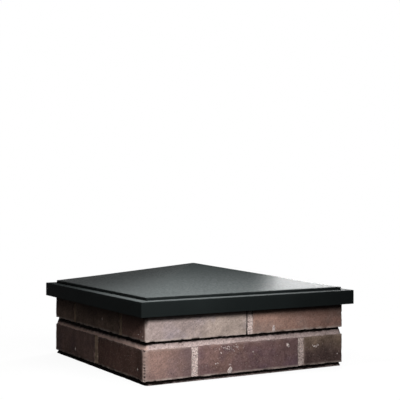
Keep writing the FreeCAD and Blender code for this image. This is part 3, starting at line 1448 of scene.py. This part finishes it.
@dataclass
class SheetCap:
    """The folded cap: an upright fascia, a flat ledge and a raised panel with soft hips, hollow below."""

    node: str = "pier_cap"
    sheet: float = 2.5 * MM
    ledge: float = 16 * MM
    step: float = 5 * MM
    rise: float = 38.3 * MM
    tip: float = 2.6 * MM  # half of the blunt tip's side
    tip_roundness: float = 0.9  # largest corner radius, in halves of a side
    corner: float = 1.6 * MM
    inside_corner: float = 0.5 * MM
    fold: float = 1.2 * MM
    soft_hip: float = 0.05  # what softness adds to the hip's corner radius, in halves of a side
    soft_from_eave: float = 0.35  # share of the slope over which it comes in
    sag: float = 0.15 * MM  # deepest hollow of the slopes
    sag_length: float = 130 * MM
    crisp: float = 40.0  # bends above this many degrees stay sharp
    straight_points: int = 44
    corner_points: int = 8
    inside_steps: int = 8
    fascia_steps: int = 6
    fold_steps: int = 5
    slope_steps: int = 40
    seed: int = 51
    half: float = field(init=False)
    foot: float = field(init=False)
    eave: float = field(init=False)

    def __post_init__(self) -> None:
        """Take the reach and the levels from the solid."""
        low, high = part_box(self.node)
        self.half = high.x
        self.foot = low.z
        self.eave = high.z - self.rise

    @property
    def panel(self) -> float:
        """Half of the raised panel's side."""
        return self.half - self.ledge

    @property
    def top(self) -> float:
        """Level of the ledge."""
        return self.eave - self.step

    @property
    def pitch(self) -> float:
        """Slope of the hip, in radians."""
        return math.atan2(self.rise, self.panel - self.tip)

    def slope_level(self, half: float) -> float:
        """Level of the hip's slope at half a side."""
        return self.eave + (self.panel - half) * math.tan(self.pitch)

    def inside(self) -> list[Ring]:
        """Underside of the cap.

        Returns:
            Its rings, from below the tip down to the foot of the fascia.
        """
        hollow, tray = self.panel - self.sheet, self.half - self.sheet
        ceiling, drop = self.top - self.sheet, self.sheet / math.cos(self.pitch)
        rings = []
        for half in np.linspace(self.tip, hollow, self.inside_steps + 1):
            rings.append(Ring(half, self.inside_corner, self.slope_level(half) - drop))
        rings.append(Ring(hollow, self.inside_corner, ceiling))
        rings.append(Ring(tray, self.inside_corner, ceiling))
        rings.append(Ring(tray, self.inside_corner, self.foot))
        return rings

    def bend(self, half: float, centre: float, turn: float) -> list[Ring]:
        """Rings of a horizontal fold, from upright to a turn.

        Args:
            half: Half of the side below the fold.
            centre: Level of the fold's centre.
            turn: How far the sheet turns in, in radians.

        Returns:
            The rings, from the upright sheet on.
        """
        rings = []
        for angle in np.linspace(0.0, turn, self.fold_steps + 1):
            back = self.fold * (1.0 - math.cos(angle))
            rings.append(Ring(half - back, self.corner - back, centre + self.fold * math.sin(angle)))
        return rings

    def sides(self) -> list[Ring]:
        """Outside of the cap below the hip.

        Returns:
            Its rings, from the foot of the fascia up to the eave.
        """
        fascia = np.linspace(self.foot, self.top - self.fold, self.fascia_steps + 1)[:-1]
        rings = [Ring(self.half, self.corner, level) for level in fascia]
        rings += self.bend(self.half, self.top - self.fold, math.pi / 2)
        rings.append(Ring(self.panel, self.corner, self.top))
        rise_to_slope = self.fold * (1.0 - math.sin(self.pitch)) / math.cos(self.pitch)
        rings += self.bend(self.panel, self.eave - rise_to_slope, math.pi / 2 - self.pitch)
        return rings

    def slopes(self) -> list[Ring]:
        """The hip, with corners that soften on the way up.

        Returns:
            Its rings, from the eave to the tip.
        """
        start = self.panel - self.fold * (1.0 - math.sin(self.pitch))
        rings = []
        for way in np.linspace(0.0, 1.0, self.slope_steps + 1)[1:]:
            half = start + (self.tip - start) * way
            soft = min(1.0, way / self.soft_from_eave)
            radius = self.corner + self.soft_hip * half * soft * soft * (3.0 - 2.0 * soft)
            rings.append(Ring(half, min(radius, self.tip_roundness * half), self.slope_level(half)))
        return rings

    def loop(self, ring: Ring) -> np.ndarray:
        """Points of one ring."""
        outline, _ = RoundedSquare(ring.half, ring.radius, self.straight_points, self.corner_points).trace()
        return np.column_stack([outline, np.full(len(outline), ring.level)])

    def build(self) -> bpy.types.Object:
        """Build the cap in the place of its solid, coat it and let it ride.

        Returns:
            The cap.
        """
        cast = Roughcast(self.seed)
        loops = [self.loop(ring) for ring in self.inside() + self.sides()]
        for ring in self.slopes():
            loop = self.loop(ring)
            hold = min(1.0, (ring.level - self.eave) / self.fold) * min(1.0, ring.half / self.ledge)
            loop[:, 2] -= self.sag * hold * (0.5 + 0.5 * cast.at(loop, self.sag_length))
            loops.append(loop)
        faces = ring_faces(len(loops[0]), len(loops))
        piece = mesh_piece(f"{self.node}_coated", np.concatenate(loops), faces)
        piece.data.set_sharp_from_angle(angle=math.radians(self.crisp))
        folds = ((self.half, self.top), (self.panel, self.eave))
        return settle(piece, PowderCoat(self.half, self.eave, self.eave + self.rise, folds), self.node)


@dataclass(frozen=True)
class Softbox:
    """A soft studio lamp."""

    name: str
    place: Point
    aim: Point
    width: float
    height: float
    watts: float

    def hang(self) -> bpy.types.Object:
        """Hang the lamp.

        Returns:
            The lamp.
        """
        data = bpy.data.lights.new(self.name, "AREA")
        data.shape = "RECTANGLE"
        data.size, data.size_y = self.width, self.height
        data.energy = self.watts
        lamp = bpy.data.objects.new(self.name, data)
        lamp.location = self.place
        lamp.rotation_euler = (Vector(self.aim) - Vector(self.place)).to_track_quat("-Z", "Y").to_euler()
        lamp.visible_camera = False
        bpy.context.scene.collection.objects.link(lamp)
        return lamp


@dataclass
class Studio:
    """Floor, surroundings, lamps and camera."""

    eye: Point = (-0.86588, -1.54431, 0.29157)
    yaw: float = 29.697  # degrees to the right of +Y
    focal_pixels: float = 947.9  # in pixels of the photograph, as the two below
    horizon_row: float = 202.49
    picture: float = 400.0  # side of the photograph
    sensor: float = 36.0
    floor_half: float = 30.0
    floor_dull: Colour = (0.11, 0.11, 0.11)  # floor that the object is lit by
    floor_chalk: Colour = (0.9, 0.9, 0.9)  # part of the floor in view that takes the shadow
    floor_shade: float = 0.07  # share of that part at the object
    shade_ring: Pair = (0.30, 0.75)  # distances between which it ends
    wall_top: Pair = (0.2095, 0.213)  # upward part of the direction in which the wall ends
    ceiling: Colour = (0.07, 0.073, 0.074)
    ambient: float = 0.022  # light from all round
    lamps: tuple[Softbox, ...] = (
        Softbox("key", (-0.25, -0.56, 0.325), (-0.06, -0.19, 0.08), 0.12, 0.12, 2.75),
        Softbox("crown", (-0.11, -0.19, 0.37), (-0.11, -0.18, 0.0), 0.34, 0.12, 2.3),
        Softbox("rear", (0.889, 0.669, 0.56), (0.10, -0.12, 0.15), 0.315, 0.45, 15.6),
        Softbox("loft", (0.5, 1.2, 1.6), (0.0, 0.1, 0.1), 1.0, 1.0, 18.0),
    )

    def build(self) -> None:
        """Set up the whole studio."""
        bpy.context.scene.view_settings.view_transform = "Standard"
        self.lay_floor()
        self.surround()
        for lamp in self.lamps:
            lamp.hang()
        self.place_camera()

    def lay_floor(self) -> bpy.types.Object:
        """Lay the pale floor, which shows white and keeps the object's shadow.

        Returns:
            The floor.
        """
        corners = self.floor_half * np.array([[-1, -1, 0], [1, -1, 0], [1, 1, 0], [-1, 1, 0]])
        floor = mesh_piece("floor", corners, [[0, 1, 2, 3]])
        sheet = NodeSheet(bpy.data.materials.new("pale_floor"))
        dull = sheet.add("ShaderNodeBsdfDiffuse", {"Color": self.floor_dull}).outputs[0]
        chalk_and_light = sheet.add("ShaderNodeBsdfDiffuse", {"Color": self.floor_chalk}).outputs[0]
        white = sheet.add("ShaderNodeEmission", {"Color": WHITE}).outputs[0]
        away = sheet.add("ShaderNodeVectorMath", {0: sheet.place()}, operation="LENGTH").outputs["Value"]
        shade = sheet.span(away, *self.shade_ring, self.floor_shade, 0.0)
        shown = sheet.blend(shade, white, chalk_and_light)
        floor.data.materials.append(sheet.surface(sheet.blend(sheet.seen_directly(), dull, shown)))
        return floor

    def surround(self) -> None:
        """Surround the object: a white wall, a dim ceiling, and a little light from all round."""
        sheet = NodeSheet(bpy.data.worlds.new("surroundings"))
        bpy.context.scene.world = sheet.owner
        up = sheet.axes(sheet.place("Generated"))[2]
        room = sheet.mix(sheet.span(up, *self.wall_top), WHITE, self.ceiling)
        shown = sheet.add("ShaderNodeBackground", {"Color": room}).outputs[0]
        glow = sheet.add("ShaderNodeBackground", {"Color": WHITE, "Strength": self.ambient}).outputs[0]
        sheet.surface(sheet.blend(sheet.seen_directly(), glow, shown))

    def place_camera(self) -> bpy.types.Object:
        """Place the level camera at the photograph's eye point.

        Returns:
            The camera.
        """
        data = bpy.data.cameras.new("camera")
        data.sensor_width = self.sensor
        data.lens = self.sensor * self.focal_pixels / self.picture
        data.shift_y = (self.horizon_row - 0.5 * self.picture) / self.picture
        camera = bpy.data.objects.new("camera", data)
        camera.location = self.eye
        camera.rotation_euler = (math.radians(90.0), 0.0, -math.radians(self.yaw))
        bpy.context.scene.collection.objects.link(camera)
        bpy.context.scene.camera = camera
        return camera


@dataclass
class PierHead:
    """The whole object: cap, bricks, mortar and what is left on the faces."""

    foot_lip: float = 1.0 * MM  # of the lower bricks over the base bed
    crack: float = 2.3 * MM  # beside the upper course's front joint
    splash_seed: int = 41
    speck_count: int = 55
    speck_seed: int = 7
    speck_along: Pair = (-42.5 * MM, 13 * MM)  # middle and spread of the specks
    speck_level: Pair = (51 * MM, 4.5 * MM)
    speck_size: Pair = (1.1 * MM, 2.4 * MM)
    speck_shape: Pair = (0.7, 1.3)  # height over width
    speck_depth: float = 0.8 * MM
    speck_clear: Pair = (5 * MM, 3 * MM)  # of the brick's foot and top

    @property
    def near_corner(self) -> tuple[float, float]:
        """Plan place of the corner between the front and the left side."""
        low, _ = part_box("brick_lower_left_front")
        return low.x, low.y

    @property
    def cap_shadow(self) -> CapShadow:
        """Painted shadow of the cap on the upper course."""
        return CapShadow(-self.near_corner[0])

    def bricks(self) -> list[Brick]:
        """The bricks whose faces show.

        Returns:
            Those of the upper course, and then those of the lower one.
        """
        upper_corner = WornCorner(self.near_corner, 5.5 * MM, pit_depth=0.0)
        lower_corner = WornCorner(self.near_corner, flare=4.0 * MM)
        cap_shadow, lip = self.cap_shadow, self.foot_lip
        return [
            Brick("brick_upper_front_left", Tone.BUFF, 11, corner=upper_corner, cap_shadow=cap_shadow),
            Brick("brick_upper_front_right", Tone.BROWN, 12, cap_shadow=cap_shadow),
            Brick("brick_upper_cross_1", Tone.CHARCOAL, 13, cap_shadow=cap_shadow),
            Brick("brick_upper_cross_4", Tone.PLUM, 14, cap_shadow=cap_shadow),
            Brick("brick_upper_back_left", Tone.BROWN, 15, cap_shadow=cap_shadow),
            Brick("brick_upper_back_right", Tone.PLUM, 16, cap_shadow=cap_shadow),
            Brick("brick_lower_left_front", Tone.EMBER, 21, 1.1 * MM, lip=lip, corner=lower_corner,
                  top_pale=0.55),
            Brick("brick_lower_cross_4", Tone.PLUM, 22, lip=lip),
            Brick("brick_lower_right_front", Tone.CHARCOAL, 23, lip=lip),
            Brick("brick_lower_left_back", Tone.DUSK, 24, lip=lip),
            Brick("brick_lower_right_back", Tone.BROWN, 25, lip=lip),
            Brick("brick_lower_cross_1", Tone.BUFF, 26, lip=lip),
        ]

    def hidden(self) -> dict[str, Finish]:
        """The solids that never show and only get their finish.

        Returns:
            The finish of each, by the solid's name.
        """
        return {
            "brick_upper_cross_2": Tone.BUFF.value,
            "brick_upper_cross_3": Tone.BROWN.value,
            "brick_lower_cross_2": Tone.PLUM.value,
            "brick_lower_cross_3": Tone.CHARCOAL.value,
            "mortar_bed_cap": SandMortar(),
        }

    def beds(self) -> list[BedJoint]:
        """The bed joints whose edges show.

        Returns:
            The one between the courses, and the one under them, with painted shade all over.
        """
        # the base bed: a deeper painted shadow, and painted shade all over
        base = BedJoint("mortar_bed_base", 32, black_depth=5.0 * MM, least_shade=0.5, lime=0.0)
        return [BedJoint("mortar_bed_middle", 31), base]

    def courses(self) -> list[Course]:
        """The courses, for their upright joints.

        Returns:
            The upper and the lower one.
        """
        upper_rows = (("front_left", "front_right"), ("back_left", "back_right"))
        lower_rows = (("left_back", "left_front"), ("right_back", "right_front"))
        upper = Course("upper", 0, upper_rows, 33, self.crack, self.cap_shadow)
        return [upper, Course("lower", 1, lower_rows, 34)]

    def splashes(self) -> list[Splash]:
        """Mortar lumps on the faces.

        Each row has the place along the side and up, the width, height and depth in millimetres, and the
        lean in degrees.

        Returns:
            The lumps on the front and on the left.
        """
        front = (
            (-39.5, 11.6, 10.5, 14.0, 1.2, -20.0),
            (-39.3, 21.4, 5.0, 3.2, 0.8, 0.0),
            (78.4, 44.6, 6.5, 9.5, 1.4, 20.0),
            (131.8, 40.2, 5.4, 2.2, 1.2, -52.0),
            (134.6, 39.4, 5.0, 2.3, 1.2, 49.0),
            (136.9, 38.4, 5.0, 2.5, 1.2, -69.0),
            (139.6, 39.6, 8.6, 3.2, 1.2, 60.0),
            (143.2, 40.3, 3.2, 2.6, 1.2, 0.0),
            (48.3, 75.6, 6.5, 13.0, 0.9, 0.0),
            (-56.5, 41.6, 3.2, 3.2, 0.9, 0.0),
            (-67.0, 24.6, 3.6, 2.6, 0.9, 0.0),
            (-63.0, 25.6, 2.8, 2.8, 0.9, 0.0),
            (6.4, 39.3, 3.4, 3.0, 0.9, 0.0),
            (185.0, 22.2, 2.6, 3.4, 0.9, 0.0),
        )
        left = (
            (178.0, 84.0, 3.0, 2.0, 0.8, 0.0),
            (184.0, 77.0, 3.0, 1.8, 0.8, 0.0),
            (169.0, 79.0, 3.4, 1.7, 0.8, 0.0),
            (27.6, 89.5, 4.5, 7.0, 1.0, 0.0),
            (-97.2, 20.6, 4.0, 8.0, 1.0, 0.0),
            (167.4, 22.3, 4.5, 8.0, 1.0, 0.0),
        )
        lumps = []
        for side, marks in ((Side.FRONT, front), (Side.LEFT, left)):
            for *sizes, lean in marks:
                lumps.append(Splash(side, *(size * MM for size in sizes), lean))
        return lumps

    def specks(self) -> list[Splash]:
        """Lime specks scattered under the middle bed joint, on the front of the lower course.

        Returns:
            The specks.
        """
        low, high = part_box("brick_lower_cross_4")
        lowest, highest = low.z + self.speck_clear[0], high.z - self.speck_clear[1]
        rng = np.random.default_rng(self.speck_seed)
        specks = []
        for _ in range(self.speck_count):
            along = rng.normal(*self.speck_along)
            level = rng.normal(*self.speck_level)
            size = rng.uniform(*self.speck_size)
            if low.x < along < high.x and lowest < level < highest:
                height = size * rng.uniform(*self.speck_shape)
                specks.append(Splash(Side.FRONT, along, level, size, height, self.speck_depth))
        return specks

    def build(self) -> Iterator[bpy.types.Object]:
        """Build and dress every piece.

        Yields:
            Each piece, when it is done.
        """
        yield SheetCap().build()
        for brick in self.bricks():
            yield brick.build()
        for node, finish in self.hidden().items():
            finish.dress(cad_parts[node])
            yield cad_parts[node]
        for bed in self.beds():
            yield bed.build()
        for course in self.courses():
            yield course.point()
        face = -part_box("brick_upper_front_left")[0].y
        yield Splashes(face, self.splashes() + self.specks(), self.splash_seed).build()


def main() -> None:
    """Build the object piece by piece, then the studio round it."""
    logging.basicConfig(level=logging.INFO, format="%(name)s: %(message)s")
    for piece in PierHead().build():
        LOG.info("built %s", piece.name)
    Studio().build()


if __name__ == "__main__":
    main()
